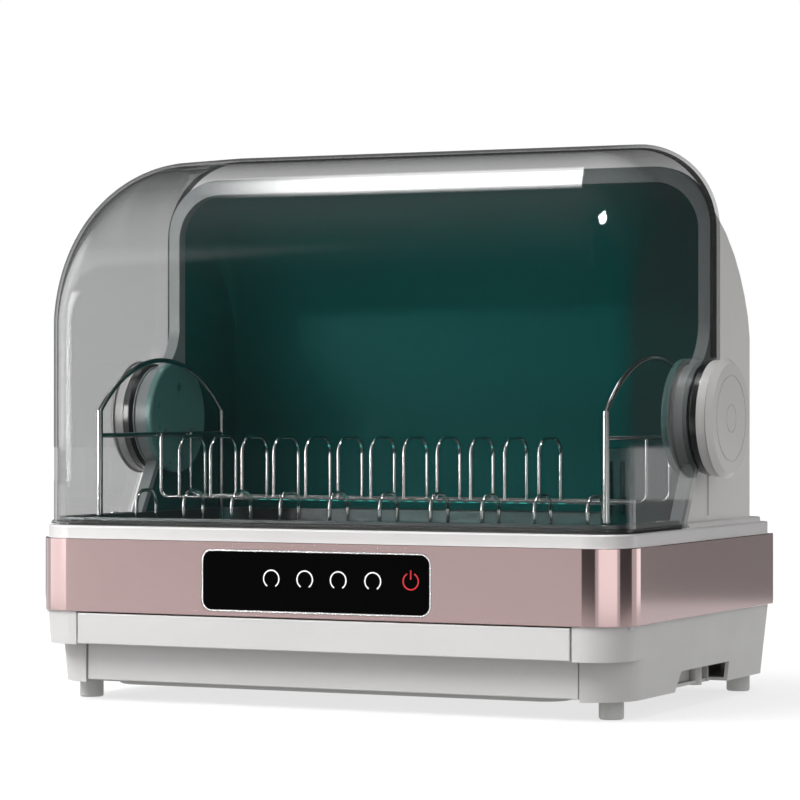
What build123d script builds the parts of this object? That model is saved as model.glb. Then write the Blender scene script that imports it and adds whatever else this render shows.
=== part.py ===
from build123d import *
import math
import os

os.makedirs("parts", exist_ok=True)

# ---------------------------------------------------------------- driving dimensions (mm)
W = 500.0            # width over the trim band
D = 331.0            # depth of the base
YF = -D / 2          # front plane of the trim band; every "y" below is counted back from it
FOOT_H = 13.9
Z_HOUSING = 14.0     # underside of the lower housing
Z_BAND0 = 70.3       # trim band
Z_BAND1 = 127.3
Z_RIM = 137.0        # top of the rim
Z_PLINTH = 141.0     # raised plinth under the back shell
HINGE_Y = 190.5      # hinge axis
HINGE_Z = 220.8
LID_HW = 245.3       # outer half width of the lid
LID_T = 2.7          # lid wall
LID_FRONT = 9.6      # front face of the lid
LID_R = 130.0        # front-top curve of the lid
LID_RC = 26.0        # vertical front corners of the lid
LID_REAR = 216.0     # upper rear edge of the lid
SHELL_HW = 236.0
SHELL_R = 195.0      # back curve of the back shell
SHELL_CY, SHELL_CZ = 125.0, 243.0
SHELL_FRONT = 216.2
SHELL_BACK = 320.0
SLANT = math.radians(31.0)   # slanted rear edge of the lid below the hinge
DRAWER_HW = 207.3
RACK_X = 216.0
SEAT_SCREW_Y = 108.0


def Y(v):
    return YF + v


def plan(z, hw, y0, y1, rf, rr):
    """Rounded rectangle seen from above: front corner radius rf, rear corner radius rr."""
    with BuildSketch(Plane.XY.offset(z)) as s:
        with Locations((0, Y((y0 + y1) / 2))):
            Rectangle(2 * hw, y1 - y0)
        front = s.vertices().sort_by(Axis.Y)[:2]
        fillet(front, rf)
        rear = s.vertices().sort_by(Axis.Y)[-2:]
        fillet(rear, rr)
    return s.sketch


def arch(y, hw, z0, z1, r):
    """Arch section in a plane of constant y: straight sides, rounded top corners."""
    with BuildSketch(Plane.XZ.offset(-Y(y))) as s:
        with Locations((0, (z0 + z1) / 2)):
            Rectangle(2 * hw, z1 - z0)
        top = s.vertices().sort_by(Axis.Y)[-2:]
        fillet(top, r)
    return s.sketch


def side(x, points):
    """Closed polygon (y, z) in the plane X = x."""
    with BuildSketch(Plane.YZ.offset(x)) as s:
        with BuildLine():
            Polyline(*[(Y(a), b) for a, b in points], close=True)
        make_face()
    return s.sketch


def disc(x, r, y=HINGE_Y, z=HINGE_Z):
    with BuildSketch(Plane.YZ.offset(x)) as s:
        with Locations((Y(y), z)):
            Circle(r)
    return s.sketch


def finish(builder, name):
    builder.part.label = name
    export_step(builder.part, "parts/" + name + ".step")


def slant_y(z, off=0.0):
    return HINGE_Y - (HINGE_Z - z) * math.tan(SLANT) + off


# ================================================================ lower housing
HOUSING_T = 2.8
STEP_Y, STEP_R = 16.0, 38.0          # set-back outline below the front blocks


def step_hw(z):
    return 241.5 + (z - Z_HOUSING) * 6.0 / (Z_BAND0 - Z_HOUSING)


with BuildPart() as step_cut:
    with BuildSketch(Plane.XY.offset(9.0)):
        with Locations((0, Y(28.0))):
            Rectangle(520, 60)
    extrude(amount=35.5)
    loft(
        [
            plan(8.0, step_hw(8.0), STEP_Y, 300, STEP_R, 8),
            plan(46.0, step_hw(46.0), STEP_Y, 300, STEP_R, 8),
        ],
        mode=Mode.SUBTRACT,
    )

with BuildPart() as step_wall:
    loft(
        [
            plan(Z_HOUSING, step_hw(Z_HOUSING), STEP_Y, 300, STEP_R, 8),
            plan(46.9, step_hw(46.9), STEP_Y, 300, STEP_R, 8),
        ]
    )
    loft(
        [
            plan(13.0, step_hw(13.0) - HOUSING_T, STEP_Y + HOUSING_T, 297, STEP_R - HOUSING_T, 6),
            plan(48.0, step_hw(48.0) - HOUSING_T, STEP_Y + HOUSING_T, 297, STEP_R - HOUSING_T, 6),
        ],
        mode=Mode.SUBTRACT,
    )
    with BuildSketch(Plane.XY.offset(Z_HOUSING - 2)):
        with Locations((0, Y(190))):
            Rectangle(520, 268)
    extrude(amount=40, mode=Mode.SUBTRACT)

with BuildPart() as base_housing:
    loft([plan(Z_HOUSING, 241.5, 1.5, 328.5, 28, 8), plan(Z_BAND0, 247.5, 1.5, 330, 31.5, 8)])
    loft(
        [
            plan(Z_HOUSING + 2.5, 241.5 - HOUSING_T, 4.5, 325.5, 25, 6),
            plan(Z_BAND0, 247.5 - HOUSING_T, 4.5, 327, 29, 6),
        ],
        mode=Mode.SUBTRACT,
    )
    # inner side walls of the drawer bay and the rear wall of the bay
    for s in (1, -1):
        with BuildSketch(Plane.XY.offset(Z_HOUSING + 1)):
            with Locations((s * 209.8, Y(158))):
                Rectangle(2.4, 309)
        extrude(amount=Z_BAND0 - Z_HOUSING - 1)
    # ledge that carries the partition plate
    with BuildSketch(Plane.XY.offset(Z_BAND0 - 2.4)):
        for s in (1, -1):
            with Locations((s * 228.5, Y(166))):
                Rectangle(37, 290)
        with Locations((0, Y(320))):
            Rectangle(470, 14)
    extrude(amount=2.4)
    # front blocks beside the drawer, with a step under them that fades out along the sides
    extrude(plan(44.5, 243.0, 3.0, 40.0, 28.0, 1.0), amount=2.5)
    add(step_cut.part, mode=Mode.SUBTRACT)
    add(step_wall.part)
    # drawer bay: open to the front and below
    with BuildSketch(Plane.XY.offset(Z_HOUSING - 5)):
        with Locations((0, Y(154.0))):
            Rectangle(2 * 208.6, 316)
    extrude(amount=80, mode=Mode.SUBTRACT)
    # foot bosses and screw bosses in the side channels
    for fx, fy in ((221.5, 47), (225, 315), (-221.5, 47), (-225, 315)):
        with Locations((fx, Y(fy), Z_HOUSING)):
            Cylinder(7.5, 26, align=(Align.CENTER, Align.CENTER, Align.MIN))
    # grip notches in the side walls, open downward
    for s in (1, -1):
        with BuildSketch(Plane.YZ.offset(s * 228)):
            with BuildLine():
                Polyline(
                    (Y(124), 10), (Y(136), 29.4), (Y(242.6), 29.4), (Y(242.6), 10), close=True
                )
            make_face()
        extrude(amount=s * 25, mode=Mode.SUBTRACT)
        # boss and ribs that show inside the notch
        with Locations((s * 225, Y(213.7), 12.6)):
            Cylinder(5.6, 50, align=(Align.CENTER, Align.CENTER, Align.MIN))
        with BuildSketch(Plane.XY.offset(Z_HOUSING)):
            for ry in (150, 232):
                with Locations((s * 220, Y(ry))):
                    Rectangle(19, 2)
        extrude(amount=54)
    # screw bores
    for fx, fy in ((221.5, 47), (225, 315), (-221.5, 47), (-225, 315)):
        with Locations((fx, Y(fy), Z_HOUSING)):
            Cylinder(2.2, 18, align=(Align.CENTER, Align.CENTER, Align.MIN), mode=Mode.SUBTRACT)
finish(base_housing, "base_housing")

with BuildPart() as feet:
    for fx, fy in ((221.5, 47), (225, 315), (-221.5, 47), (-225, 315)):
        with Locations((fx, Y(fy), 0)):
            Cylinder(9.35, FOOT_H, align=(Align.CENTER, Align.CENTER, Align.MIN))
    chamfer(feet.edges().filter_by(GeomType.CIRCLE).group_by(Axis.Z)[0], 1.0)
    for fx, fy in ((221.5, 47), (225, 315), (-221.5, 47), (-225, 315)):
        with Locations((fx, Y(fy), 0)):
            Cylinder(4.2, 6, align=(Align.CENTER, Align.CENTER, Align.MIN), mode=Mode.SUBTRACT)
            Cylinder(2.3, FOOT_H, align=(Align.CENTER, Align.CENTER, Align.MIN), mode=Mode.SUBTRACT)
finish(feet, "feet")

with BuildPart() as housing_screws:
    for fx, fy in ((221.5, 47), (225, 315), (-221.5, 47), (-225, 315)):
        with Locations((fx, Y(fy), 3.4)):
            Cylinder(3.8, 2.5, align=(Align.CENTER, Align.CENTER, Align.MIN))
        with Locations((fx, Y(fy), 5.9)):
            Cylinder(2.0, 22, align=(Align.CENTER, Align.CENTER, Align.MIN))
        with Locations((fx, Y(fy), 3.4)):
            Box(5.2, 1.0, 1.2, align=(Align.CENTER, Align.CENTER, Align.MIN), mode=Mode.SUBTRACT)
            Box(1.0, 5.2, 1.2, align=(Align.CENTER, Align.CENTER, Align.MIN), mode=Mode.SUBTRACT)
finish(housing_screws, "housing_screws")

with BuildPart() as partition_plate:
    extrude(plan(Z_BAND0 + 0.1, 245.8, 4.6, 327.4, 29, 7), amount=1.6)
    with Locations((0, Y(120), Z_BAND0)):
        Cylinder(15, 8, mode=Mode.SUBTRACT)
    with BuildSketch(Plane.XY.offset(Z_BAND0 + 1.0)):
        with Locations((0, Y(120))):
            Circle(18)
            Circle(15, mode=Mode.SUBTRACT)
    extrude(amount=6)
    with BuildSketch(Plane.XY.offset(Z_BAND0)):
        with Locations((0, Y(262))):
            with PolarLocations(12, 8):
                Circle(3)
    extrude(amount=3, mode=Mode.SUBTRACT)
finish(partition_plate, "partition_plate")

# ================================================================ rim, band, rear panel
with BuildPart() as rim_deck:
    extrude(plan(Z_BAND0 + 1.8, 248.6, 1.4, 330.6, 31.9, 8), amount=Z_BAND1 - Z_BAND0 - 1.8)
    extrude(plan(Z_BAND1, 247.5, 2.5, 330.0, 31, 9), amount=Z_RIM - Z_BAND1)
    extrude(plan(Z_RIM, 243.5, 143.6, 326.0, 4, 12), amount=Z_PLINTH - Z_RIM)
    top_edges = rim_deck.edges().group_by(Axis.Z)[-1]
    fillet(top_edges, 1.2)
    rim_edges = rim_deck.edges().filter_by(lambda e: abs(e.center().Z - Z_RIM) < 0.05 and abs(e.bounding_box().size.Z) < 0.01 and (e.center().Y < Y(100) or abs(e.center().X) > 246 or e.center().Y > Y(328)))
    try:
        fillet(rim_edges, 1.2)
    except Exception:
        pass
    # inside of the skirt and under the deck
    extrude(plan(Z_BAND0 + 1.0, 246.0, 4.2, 328.2, 29.3, 6), amount=133.4 - Z_BAND0 - 1.0, mode=Mode.SUBTRACT)
    # opening for the basin, outlet for the hot air
    extrude(plan(120, 227.2, 25.8, 272.2, 27.2, 27.2), amount=30, mode=Mode.SUBTRACT)
    with BuildSketch(Plane.XY.offset(120)):
        with Locations((0, Y(290.5))):
            Rectangle(232, 24)
    extrude(amount=30, mode=Mode.SUBTRACT)
    # seat of the control glass and window behind it
    with BuildSketch(Plane.XZ.offset(-Y(2.7))):
        with Locations((0, 97.5)):
            RectangleRounded(193.6, 47.6, 8.8)
    extrude(amount=5, mode=Mode.SUBTRACT)
    with BuildSketch(Plane.XZ.offset(-Y(6))):
        with Locations((0, 97.5)):
            RectangleRounded(180, 34, 4)
    extrude(amount=6, mode=Mode.SUBTRACT)
    # opening for the rear panel
    with BuildSketch(Plane.XZ.offset(-Y(335))):
        with Locations((0, 99.5)):
            RectangleRounded(440, 46, 6)
    extrude(amount=9, mode=Mode.SUBTRACT)
    with Locations(*[(sx, Y(SEAT_SCREW_Y), 130) for sx in (236.4, -236.4)]):
        Cylinder(1.9, 12, align=(Align.CENTER, Align.CENTER, Align.MIN), mode=Mode.SUBTRACT)
finish(rim_deck, "rim_deck")

with BuildPart() as trim_band:
    extrude(plan(Z_BAND0, W / 2, 0.0, 345.0, 33, 5), amount=Z_BAND1 - Z_BAND0)
    long_edges = trim_band.edges().group_by(Axis.Z)[-1] + trim_band.edges().group_by(Axis.Z)[0]
    chamfer(long_edges, 0.5)
    extrude(plan(Z_BAND0 - 1, W / 2 - 1.2, 1.2, 360.0, 31.9, 5), amount=60, mode=Mode.SUBTRACT)
    with BuildSketch(Plane.XY.offset(Z_BAND0 - 1)):
        with Locations((0, Y(345))):
            Rectangle(520, 32)
    extrude(amount=60, mode=Mode.SUBTRACT)
    with BuildSketch(Plane.XZ.offset(-Y(3))):
        with Locations((0, 97.5)):
            RectangleRounded(193.8, 47.8, 8.9)
    extrude(amount=6, mode=Mode.SUBTRACT)
finish(trim_band, "trim_band")

with BuildPart() as rear_panel:
    with BuildSketch(Plane.XZ.offset(-Y(328.1))):
        with Locations((0, 99.5)):
            RectangleRounded(450, 52, 5.7)
    extrude(amount=1.8)
    with BuildSketch(Plane.XZ.offset(-Y(330.2))):
        with Locations((0, 99.5)):
            RectangleRounded(439.4, 45.4, 5.7)
    extrude(amount=2.4)
    with BuildSketch(Plane.XZ.offset(-Y(332))):
        with Locations((60, 99.5)):
            with GridLocations(9, 0, 22, 1):
                SlotOverall(26, 3.4, rotation=90)
        with Locations((-185, 92)):
            Circle(9.1)
    extrude(amount=8, mode=Mode.SUBTRACT)
finish(rear_panel, "rear_panel")

with BuildPart() as cord_inlet:
    with BuildSketch(Plane.XZ.offset(-Y(330.25))):
        with Locations((-185, 92)):
            Circle(12)
    extrude(amount=-0.75)
    with BuildSketch(Plane.XZ.offset(-Y(330.25))):
        with Locations((-185, 92)):
            Circle(8.9)
    extrude(amount=14)
    with BuildSketch(Plane.XZ.offset(-Y(332))):
        with Locations((-185, 92)):
            Circle(3.6)
    extrude(amount=20, mode=Mode.SUBTRACT)
finish(cord_inlet, "cord_inlet")

# ================================================================ control panel
with BuildPart() as control_glass:
    with BuildSketch(Plane.XZ.offset(-Y(2.6))):
        with Locations((0, 97.5)):
            RectangleRounded(193.0, 47.0, 8.5)
    extrude(amount=2.2)
    front_face = control_glass.faces().sort_by(Axis.Y)[0]
    chamfer(front_face.edges(), 0.4)
finish(control_glass, "control_glass")

PAD_X = (-36.6, -8.2, 20.0, 48.8, 80.1)
with BuildPart() as control_board:
    with BuildSketch(Plane.XZ.offset(-Y(9.2))):
        with Locations((0, 97.5)):
            Rectangle(178, 32)
    extrude(amount=1.6)
    with Locations((-60, Y(11.2), 97.5)):
        Box(14, 4, 14)
    with Locations((-20, Y(10.7), 92)):
        Box(10, 3, 6)
    with Locations((40, Y(10.7), 104)):
        Box(6, 3, 10)
    with Locations((-80, Y(12.2), 97.5)):
        Box(6, 6, 18)
finish(control_board, "control_board")

with BuildPart() as touch_springs:
    with BuildSketch(Plane.XZ.offset(-Y(7.6))):
        with Locations(*[(px, 99.6) for px in PAD_X]):
            Circle(3.6)
            Circle(2.6, mode=Mode.SUBTRACT)
    extrude(amount=4.9)
finish(touch_springs, "touch_springs")

with BuildPart() as power_board:
    with Locations((165, Y(92), 75.6)):
        Box(84, 110, 1.6, align=(Align.CENTER, Align.CENTER, Align.MIN))
    for bx, by, bw, bd, bh in ((145, 60, 30, 26, 20), (185, 60, 18, 15, 15), (150, 120, 22, 22, 16), (190, 110, 12, 26, 12)):
        with Locations((bx, Y(by), 77.2)):
            Box(bw, bd, bh, align=(Align.CENTER, Align.CENTER, Align.MIN))
    for cx, cy in ((172, 90), (186, 84)):
        with Locations((cx, Y(cy), 77.2)):
            Cylinder(5, 18, align=(Align.CENTER, Align.CENTER, Align.MIN))
    with Locations(*[(px, Y(py), 72.0) for px in (127, 203) for py in (42, 142)]):
        Cylinder(2.5, 3.6, align=(Align.CENTER, Align.CENTER, Align.MIN))
finish(power_board, "power_board")

# ================================================================ basin and seat
BASIN_Z = 104.0
with BuildPart() as basin:
    extrude(plan(Z_PLINTH + 0.1, 240.8, 14.2, 276.0, 21.5, 10), amount=2.1)
    with BuildSketch(Plane.XY.offset(Z_PLINTH - 1)):
        for s in (1, -1):
            with Locations((s * 240.5, Y(239.5))):
                Rectangle(20.0, 201)
    extrude(amount=6, mode=Mode.SUBTRACT)
    extrude(plan(BASIN_Z - 1.5, 226.6, 26.4, 271.6, 26.6, 26.6), amount=Z_PLINTH + 0.2 - BASIN_Z + 1.5)
    extrude(plan(BASIN_Z, 225.1, 27.9, 270.1, 25.1, 25.1), amount=50, mode=Mode.SUBTRACT)
    # drain with its spout
    with Locations((0, Y(120), BASIN_Z - 12)):
        Cylinder(12, 11.5, align=(Align.CENTER, Align.CENTER, Align.MIN))
    with Locations((0, Y(120), BASIN_Z - 13)):
        Cylinder(9.5, 20, align=(Align.CENTER, Align.CENTER, Align.MIN), mode=Mode.SUBTRACT)
    with Locations(*[(sx, Y(SEAT_SCREW_Y), 140) for sx in (236.4, -236.4)]):
        Cylinder(2.05, 10, align=(Align.CENTER, Align.CENTER, Align.MIN), mode=Mode.SUBTRACT)
finish(basin, "basin")

with BuildPart() as seat_gasket:
    extrude(plan(Z_RIM, 241.4, 13.4, 300, 22.1, 5), amount=4.0)
    fillet(seat_gasket.edges().group_by(Axis.Z)[-1], 1.0)
    extrude(plan(Z_RIM - 1, 231.5, 23.2, 320, 14, 5), amount=10, mode=Mode.SUBTRACT)
    with BuildSketch(Plane.XY.offset(Z_RIM - 1)):
        with Locations((0, Y(241.5))):
            Rectangle(520, 200)
    extrude(amount=10, mode=Mode.SUBTRACT)
    with Locations(*[(sx, Y(SEAT_SCREW_Y), Z_RIM) for sx in (236.4, -236.4)]):
        Cylinder(2.05, 10, align=(Align.CENTER, Align.CENTER, Align.MIN), mode=Mode.SUBTRACT)
finish(seat_gasket, "seat_gasket")

with BuildPart() as seat_screws:
    with Locations(*[(sx, Y(SEAT_SCREW_Y), 132.0) for sx in (236.4, -236.4)]):
        Cylinder(1.85, 11.6, align=(Align.CENTER, Align.CENTER, Align.MIN))
    with Locations(*[(sx, Y(SEAT_SCREW_Y), 143.25) for sx in (236.4, -236.4)]):
        Cylinder(3.2, 0.9, align=(Align.CENTER, Align.CENTER, Align.MIN))
finish(seat_screws, "seat_screws")

# ================================================================ back shell, liner, front frame


def shell_z(y, inset):
    r = SHELL_R - inset
    return SHELL_CZ + math.sqrt(max(r * r - (y - SHELL_CY) ** 2, 0.0))


def shell_sections(inset, z0, y_start, y_end):
    out = []
    for y in (y_start, 230, 245, 262, 278, 290, 300, 308, 313, 316.5, 319, SHELL_BACK):
        yy = y if y < 310 else 310 + (y - 310) * (10 - inset) / 10
        hw = SHELL_HW - inset
        if yy > 310:
            rc = 10 - inset
            hw = SHELL_HW - 10 + math.sqrt(max(rc * rc - (yy - 310) ** 2, 0.0))
        frac = min(max((y - 216) / 92.0, 0.0), 1.0)
        r = 45 - 35 * frac ** 0.8
        r = max(r - inset, 3.0)
        z1 = shell_z(yy, inset)
        if z1 < z0 + r + 20:
            z1 = z0 + r + 20
        out.append(arch(yy, hw, z0, z1, r))
    return out


CHEEK = [
    (slant_y(Z_PLINTH, 6), Z_PLINTH + 0.05),
    (224, Z_PLINTH + 0.05),
    (224, 257.6),
    (190.5, 257.6),
    (190.5, HINGE_Z),
    (HINGE_Y + 6, HINGE_Z),
]

with BuildPart() as back_shell:
    loft(shell_sections(0.0, Z_PLINTH + 0.05, SHELL_FRONT, SHELL_BACK), ruled=True)
    loft(shell_sections(2.6, Z_PLINTH - 2, SHELL_FRONT - 0.01, SHELL_BACK), ruled=True, mode=Mode.SUBTRACT)
    for s in (1, -1):
        # cheek under the hinge, with its lip along the slanted front edge
        extrude(side(s * (SHELL_HW - 2.6), CHEEK), amount=s * 2.6)
        lip = [
            (slant_y(Z_PLINTH, 6), Z_PLINTH + 0.05),
            (slant_y(Z_PLINTH, 12), Z_PLINTH + 0.05),
            (slant_y(HINGE_Z - 30, 12), HINGE_Z - 30),
            (slant_y(HINGE_Z - 30, 6), HINGE_Z - 30),
        ]
        extrude(side(s * (SHELL_HW - 1), lip), amount=s * 5.6)
        # hinge opening
        extrude(disc(s * (SHELL_HW - 6), 42.0), amount=s * 12, mode=Mode.SUBTRACT)
        # vertical groove behind the cheek
        with BuildSketch(Plane.XY.offset(Z_PLINTH + 4)):
            with Locations((s * SHELL_HW, Y(210.5))):
                Rectangle(2.4, 11)
        extrude(amount=55, mode=Mode.SUBTRACT)
    # opening behind the louvred cover
    with BuildSketch(Plane.XZ.offset(-Y(325))):
        with Locations((0, 190)):
            Rectangle(150, 34)
    extrude(amount=12, mode=Mode.SUBTRACT)
finish(back_shell, "back_shell")

with BuildPart() as rear_vent_cover:
    with BuildSketch(Plane.XZ.offset(-Y(320.05))):
        with Locations((0, 190)):
            RectangleRounded(170, 52, 6)
    extrude(amount=-3.0)
    fillet(rear_vent_cover.faces().sort_by(Axis.Y)[-1].edges(), 1.0)
    with BuildSketch(Plane.XZ.offset(-Y(326))):
        with Locations((0, 190)):
            with GridLocations(0, 7, 1, 5):
                SlotOverall(140, 3.2)
    extrude(amount=10, mode=Mode.SUBTRACT)
finish(rear_vent_cover, "rear_vent_cover")

LINER_BACK = 307.0
with BuildPart() as liner_hollow:
    loft(shell_sections(5.0, Z_PLINTH - 2, SHELL_FRONT - 0.01, SHELL_BACK), ruled=True)
    with BuildSketch(Plane.XZ.offset(-Y(LINER_BACK - 2.0))):
        with Locations((0, 250)):
            Rectangle(520, 400)
    extrude(amount=-30, mode=Mode.SUBTRACT)

with BuildPart() as inner_liner:
    loft(shell_sections(2.9, Z_PLINTH + 0.05, SHELL_FRONT, SHELL_BACK), ruled=True)
    with BuildSketch(Plane.XZ.offset(-Y(LINER_BACK))):
        with Locations((0, 250)):
            Rectangle(520, 400)
    extrude(amount=-30, mode=Mode.SUBTRACT)
    add(liner_hollow.part, mode=Mode.SUBTRACT)
    for s in (1, -1):
        extrude(side(s * 231.0, CHEEK), amount=s * 2.1)
        extrude(disc(s * 229.0, 42.0), amount=s * 4.2, mode=Mode.SUBTRACT)
finish(inner_liner, "inner_liner")

FRAME_Y0, FRAME_Y1 = 206.0, 216.0
FRAME_X = 240.6
with BuildPart() as front_frame:
    extrude(arch(FRAME_Y1, FRAME_X, 258, 418, 46.5), amount=FRAME_Y1 - FRAME_Y0)
    extrude(arch(FRAME_Y1 + 1, 231.0, 250, 406, 38.0), amount=12, mode=Mode.SUBTRACT)
    for s in (1, -1):
        # curved neck from the leg of the arch to the hinge ring
        with BuildSketch(Plane.YZ.offset(s * 231.0)):
            with BuildLine():
                Line((Y(216), 258), (Y(216), 300))
                Line((Y(216), 300), (Y(206), 300))
                ThreePointArc((Y(206), 300), (Y(200.5), 277), (Y(181), 260.8))
                Line((Y(181), 260.8), (Y(190.5), 258))
                Line((Y(190.5), 258), (Y(216), 258))
            make_face()
        extrude(amount=s * (FRAME_X - 231.0))
        # hinge ring and the slanted strip below it
        extrude(disc(s * 228.7, 41.6), amount=s * 12.3)
        strip = [
            (slant_y(Z_PLINTH, -1), Z_PLINTH + 0.05),
            (slant_y(Z_PLINTH, 5.6), Z_PLINTH + 0.05),
            (slant_y(190, 5.6), 190),
            (slant_y(190, -1), 190),
        ]
        extrude(side(s * 231.0, strip), amount=s * (FRAME_X - 231.0))
        extrude(disc(s * 228.0, 34.0), amount=s * 14, mode=Mode.SUBTRACT)
finish(front_frame, "front_frame")

SIDES = (("right", 1), ("left", -1))
for side_name, s in SIDES:
    with BuildPart() as pivot_boss:
        extrude(disc(s * 228.8, 33.9), amount=s * 12.1)
        extrude(disc(s * 230.8, 31.5), amount=s * 8.0, mode=Mode.SUBTRACT)
        extrude(disc(s * 229.5, 12.0), amount=s * 11.0)
        for a in (0, 60, 120):
            with Locations(Location((s * 235, Y(HINGE_Y), HINGE_Z), (a, 0, 0))):
                Box(11.0, 64, 2.2)
        extrude(disc(s * 228.0, 6.02), amount=s * 14, mode=Mode.SUBTRACT)
        # bores that take the screws of the inner cover
        with BuildSketch(Plane.YZ.offset(s * 228.0)):
            with Locations((Y(HINGE_Y), HINGE_Z)):
                with PolarLocations(25, 3, start_angle=90):
                    Circle(1.65)
        extrude(amount=s * 6.0, mode=Mode.SUBTRACT)
        if s > 0:
            # pocket of the reed switch
            with Locations((s * 234, Y(HINGE_Y - 20), HINGE_Z + 3)):
                Box(9.0, 16, 16, mode=Mode.SUBTRACT)
    finish(pivot_boss, "pivot_boss_" + side_name)

    with BuildPart() as inner_hub_cover:
        extrude(disc(s * 228.5, 46.0), amount=-s * 5.7)
        inner_face = inner_hub_cover.faces().sort_by(Axis.X)[0 if s > 0 else -1]
        fillet(inner_face.edges(), 2.0)
        extrude(disc(s * 228.6, 44.0), amount=-s * 3.8, mode=Mode.SUBTRACT)
        with BuildSketch(Plane.YZ.offset(s * 228.4)):
            with Locations((Y(HINGE_Y), HINGE_Z)):
                with PolarLocations(25, 3, start_angle=90):
                    Circle(4.5)
        extrude(amount=-s * 4.5)
        with BuildSketch(Plane.YZ.offset(s * 229)):
            with Locations((Y(HINGE_Y), HINGE_Z)):
                with PolarLocations(25, 3, start_angle=90):
                    Circle(1.7)
        extrude(amount=-s * 8.0, mode=Mode.SUBTRACT)
        # countersinks for the screw heads
        with BuildSketch(Plane.YZ.offset(s * 224.1)):
            with Locations((Y(HINGE_Y), HINGE_Z)):
                with PolarLocations(25, 3, start_angle=90):
                    Circle(3.3)
        extrude(amount=-s * 3.0, mode=Mode.SUBTRACT)
    finish(inner_hub_cover, "inner_hub_cover_" + side_name)

    with BuildPart() as hinge_pin:
        extrude(disc(s * 229.6, 6.0), amount=s * 27.4)
        chamfer(hinge_pin.edges().filter_by(GeomType.CIRCLE), 0.5)
    finish(hinge_pin, "hinge_pin_" + side_name)

    # ------------------------------------------------ pieces of the lid's hub
    with BuildPart() as hinge_washer:
        extrude(disc(s * 241.5, 42.6), amount=s * 1.0)
        extrude(disc(s * 241.0, 34.3), amount=s * 2.0, mode=Mode.SUBTRACT)
    finish(hinge_washer, "hinge_washer_" + side_name)

    with BuildPart() as hinge_ring:
        extrude(disc(s * 241.5, 34.0), amount=s * 4.0)
        extrude(disc(s * 245.4, 44.4), amount=s * 5.5)
        fillet(hinge_ring.edges().filter_by(GeomType.CIRCLE).filter_by(lambda e: e.radius > 44), 0.6)
        extrude(disc(s * 241.0, 6.05), amount=s * 12, mode=Mode.SUBTRACT)
        extrude(disc(s * 241.0, 30.0), amount=s * 3.0, mode=Mode.SUBTRACT)
        extrude(disc(s * 241.6, 10.0), amount=s * 3.0)
        extrude(disc(s * 241.0, 6.05), amount=s * 12, mode=Mode.SUBTRACT)
    finish(hinge_ring, "hinge_ring_" + side_name)

    with BuildPart() as hub_cap:
        extrude(disc(s * 250.95, 45.0), amount=s * 7.0)
        extrude(disc(s * 257.9, 43.6), amount=s * 1.2)
        extrude(disc(s * 259.0, 46.6), amount=s * 4.7)
        outer = hub_cap.faces().sort_by(Axis.X)[-1 if s > 0 else 0]
        chamfer(outer.edges(), 4.2)
        # shallow ring and centre circle on the face
        with BuildSketch(Plane.YZ.offset(s * 263.7)):
            with Locations((Y(HINGE_Y), HINGE_Z)):
                Circle(33.6)
                Circle(32.4, mode=Mode.SUBTRACT)
                Circle(11.0)
                Circle(10.2, mode=Mode.SUBTRACT)
        extrude(amount=-s * 0.6, mode=Mode.SUBTRACT)
        extrude(disc(s * 250.5, 41.0), amount=s * 9.0, mode=Mode.SUBTRACT)
        extrude(disc(s * 250.95, 12.0), amount=s * 9.5)
        extrude(disc(s * 250.5, 6.05), amount=s * 7.5, mode=Mode.SUBTRACT)
        for a in (30, 90, 150):
            with Locations(Location((s * 255.5, Y(HINGE_Y), HINGE_Z), (a, 0, 0))):
                Box(8.6, 83, 2.0)
        extrude(disc(s * 250.5, 6.05), amount=s * 7.5, mode=Mode.SUBTRACT)
    finish(hub_cap, "hub_cap_" + side_name)

with BuildPart() as hub_screws:
    for s in (1, -1):
        with BuildSketch(Plane.YZ.offset(s * 222.6)):
            with Locations((Y(HINGE_Y), HINGE_Z)):
                with PolarLocations(25, 3, start_angle=90):
                    Circle(3.0)
        extrude(amount=s * 1.45)
        with BuildSketch(Plane.YZ.offset(s * 222.8)):
            with Locations((Y(HINGE_Y), HINGE_Z)):
                with PolarLocations(25, 3, start_angle=90):
                    Circle(1.6)
        extrude(amount=s * 9.6)
finish(hub_screws, "hub_screws")

with BuildPart() as lid_sensor:
    with Locations((234.2, Y(HINGE_Y - 20), HINGE_Z + 3)):
        Box(7.0, 15, 14)
    with Locations(*[(230.3, Y(HINGE_Y - 20 + dy), HINGE_Z + 3) for dy in (-4, 0, 4)]):
        Box(1.2, 1.2, 8)
finish(lid_sensor, "lid_sensor")

# ================================================================ lid
LID_ZC = 298.0
LID_TILT = math.radians(5.9)


def lid_z(y, inset):
    r = LID_R - inset
    cy = LID_FRONT + LID_R
    y_t = cy - r * math.sin(LID_TILT)
    if y <= y_t:
        return LID_ZC + math.sqrt(max(r * r - (cy - y) ** 2, 0.0))
    return LID_ZC + r * math.cos(LID_TILT) + (y - y_t) * math.tan(LID_TILT)


def lid_sections(inset, z0, y_end):
    y0 = LID_FRONT + inset
    rc = LID_RC - inset
    cyc = LID_FRONT + LID_RC
    out = []
    for y in (y0, y0 + 0.5, y0 + 2.0, y0 + 4.6, y0 + 8.5, y0 + 14, y0 + 21, 42, 56, 74, 98, 126.2, 170, y_end):
        hw = LID_HW - inset
        if y < cyc:
            hw = LID_HW - LID_RC + math.sqrt(max(rc * rc - (cyc - y) ** 2, 0.0))
        r = 12 + 56 * min(max((y - y0) / 116.6, 0.0), 1.0) ** 0.6 - inset
        out.append(arch(y, hw, z0, lid_z(y, inset), r))
    return out


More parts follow.
